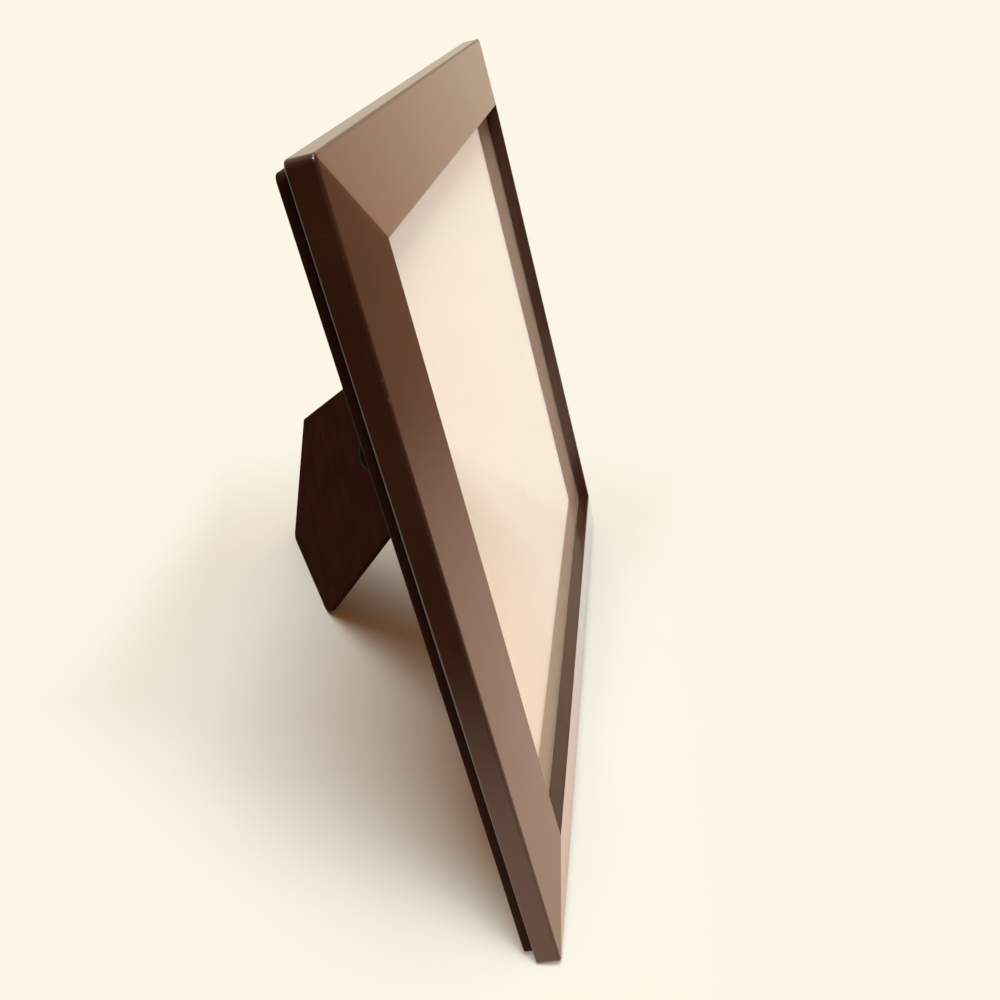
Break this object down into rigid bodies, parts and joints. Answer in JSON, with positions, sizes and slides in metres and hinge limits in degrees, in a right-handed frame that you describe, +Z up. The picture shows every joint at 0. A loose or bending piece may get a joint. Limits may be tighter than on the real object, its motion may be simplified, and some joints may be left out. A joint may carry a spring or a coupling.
{
  "type": "easel back photo frame",
  "caption": "Landscape photo frame with mitred, reverse sloped rails, a lift-out back door and a hinged, pointed easel leg set at a slant.",
  "frame": {"origin": "on the table under the middle of the whole object as it stands open", "axes": "+Z up, the frame's front faces -Y and leans back 14 degrees, +X to the right of someone who looks at the front"},
  "size_m": [0.2952, 0.1526, 0.2389],
  "materials": {
    "moulding": "smooth satin dark brown lacquer, no grain showing",
    "back_strips": "matte black-brown paint on fibreboard",
    "back_board": "matte near-black brown paper face on hardboard",
    "glass": "clear float glass",
    "print_paper": "blank cream print paper",
    "filler": "plain grey-brown filler board",
    "hinge_steel": "black lacquered sheet steel",
    "rivet_steel": "plain nickel plated steel",
    "button_steel": "black lacquered sheet steel",
    "nail_steel": "bare bright steel"
  },
  "bodies": {
    "frame": {"rail_bottom": "moulding", "rail_right": "moulding", "rail_top": "moulding", "rail_left": "moulding", "corner_nails": "nail_steel", "glass_pane": "glass", "photo_insert": "print_paper", "filler_board": "filler", "back_strip_bottom": "back_strips", "back_strip_right": "back_strips", "back_strip_top": "back_strips", "back_strip_left": "back_strips", "strip_pins": "nail_steel", "easel_door": "back_board", "hinge_door_leaf": "hinge_steel", "hinge_door_rivets": "rivet_steel", "hinge_pin": "rivet_steel", "button_screws": "button_steel"},
    "leg": {"leg_board": "back_board", "hinge_leg_leaf": "hinge_steel", "hinge_leg_rivets": "rivet_steel"},
    "turn_button_bottom": {"turn_button_bottom": "button_steel"},
    "turn_button_right": {"turn_button_right": "button_steel"},
    "turn_button_top": {"turn_button_top": "button_steel"},
    "turn_button_left": {"turn_button_left": "button_steel"}
  },
  "joints": [
    {"name": "leg_hinge", "type": "hinge", "parent": "frame", "child": "leg", "pos_m": [-0.069, -0.02572, 0.15008], "axis": [0.549, 0.2022, 0.811], "range_deg": [-31.5, 0]},
    {"name": "turn_button_bottom_pivot", "type": "hinge", "parent": "frame", "child": "turn_button_bottom", "pos_m": [0, -0.0632, 0.00721], "axis": [0, 0.9703, -0.2419], "continuous": true},
    {"name": "turn_button_right_pivot", "type": "hinge", "parent": "frame", "child": "turn_button_right", "pos_m": [0.13905, -0.02405, 0.1642], "axis": [0, 0.9703, -0.2419], "continuous": true},
    {"name": "turn_button_top_pivot", "type": "hinge", "parent": "frame", "child": "turn_button_top", "pos_m": [0, -0.00813, 0.22805], "axis": [0, 0.9703, -0.2419], "continuous": true},
    {"name": "turn_button_left_pivot", "type": "hinge", "parent": "frame", "child": "turn_button_left", "pos_m": [-0.13905, -0.02405, 0.1642], "axis": [0, 0.9703, -0.2419], "continuous": true}
  ]
}
